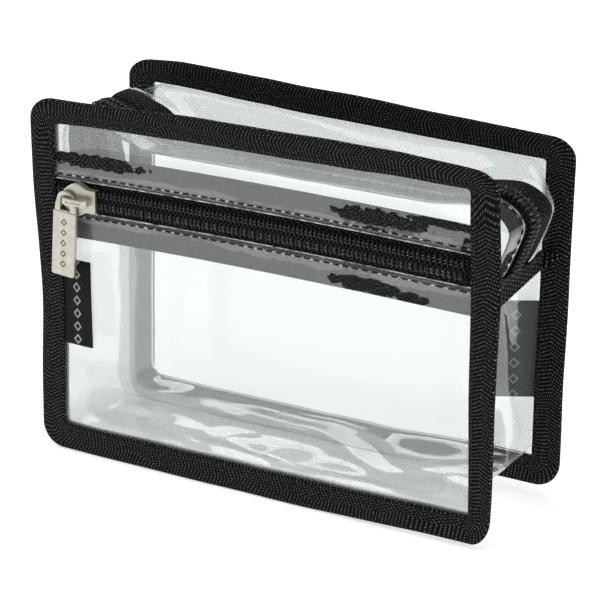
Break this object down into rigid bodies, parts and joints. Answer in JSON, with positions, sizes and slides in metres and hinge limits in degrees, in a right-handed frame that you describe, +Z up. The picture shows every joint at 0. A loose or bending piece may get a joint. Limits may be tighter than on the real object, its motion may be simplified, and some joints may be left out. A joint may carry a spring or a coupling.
{
  "type": "clear makeup bag",
  "caption": "Boxy clear vinyl makeup bag: zip top that runs down both sides, zipped front pocket, black woven binding round each face.",
  "frame": {"origin": "on the floor under the middle of the whole bag's box", "axes": "+X along the face to the viewer's right, +Y from the front pocket to the back panel, +Z up"},
  "size_m": [0.2, 0.0758, 0.144],
  "materials": {
    "vinyl": "clear flexible vinyl sheet, polished",
    "webbing": "black ribbed polyester tape",
    "zip_tape": "black woven zip tape",
    "nylon_coil": "black nylon coil, slightly glossy",
    "satin_nickel": "zinc casting with a warm satin nickel plate",
    "woven_label": null
  },
  "bodies": {
    "bag": {"front_panel_lower": "vinyl", "front_panel_upper": "vinyl", "pocket_divider": "vinyl", "back_panel": "vinyl", "lower_gusset": "vinyl", "zip_gusset_front": "vinyl", "zip_gusset_back": "vinyl", "front_binding": "webbing", "back_binding": "webbing", "front_zip_tape_upper": "zip_tape", "front_zip_tape_lower": "zip_tape", "front_zip_coil_upper": "nylon_coil", "front_zip_coil_lower": "nylon_coil", "main_zip_tape_front": "zip_tape", "main_zip_tape_back": "zip_tape", "main_zip_coil_front": "nylon_coil", "main_zip_coil_back": "nylon_coil", "zip_end_strap_left": "webbing", "zip_end_strap_right": "webbing", "side_label": "woven_label", "inner_label": "woven_label"},
    "front_slider": {"front_slider_body": "satin_nickel", "front_slider_crown": "satin_nickel", "front_slider_spring": "satin_nickel"},
    "front_pull": {"front_pull": "satin_nickel"},
    "main_slider": {"main_slider_body": "satin_nickel", "main_slider_crown": "satin_nickel", "main_slider_spring": "satin_nickel"},
    "main_pull": {"main_pull": "satin_nickel"}
  },
  "joints": [
    {"name": "front_zip_slide", "type": "slide", "parent": "bag", "child": "front_slider", "axis": [1, 0, 0], "range_m": [0, 0.153]},
    {"name": "front_pull_swing", "type": "hinge", "parent": "front_slider", "child": "front_pull", "pos_m": [-0.0815, -0.03488, 0.1072], "axis": [0, 1, 0], "range_deg": [-33, 205]},
    {"name": "main_zip_slide", "type": "slide", "parent": "bag", "child": "main_slider", "axis": [1, 0, 0], "range_m": [0, 0.092]},
    {"name": "main_pull_swing", "type": "hinge", "parent": "main_slider", "child": "main_pull", "pos_m": [-0.0442, 0.00323, 0.12975], "axis": [0, 0, 1], "range_deg": [-30, 30]}
  ]
}
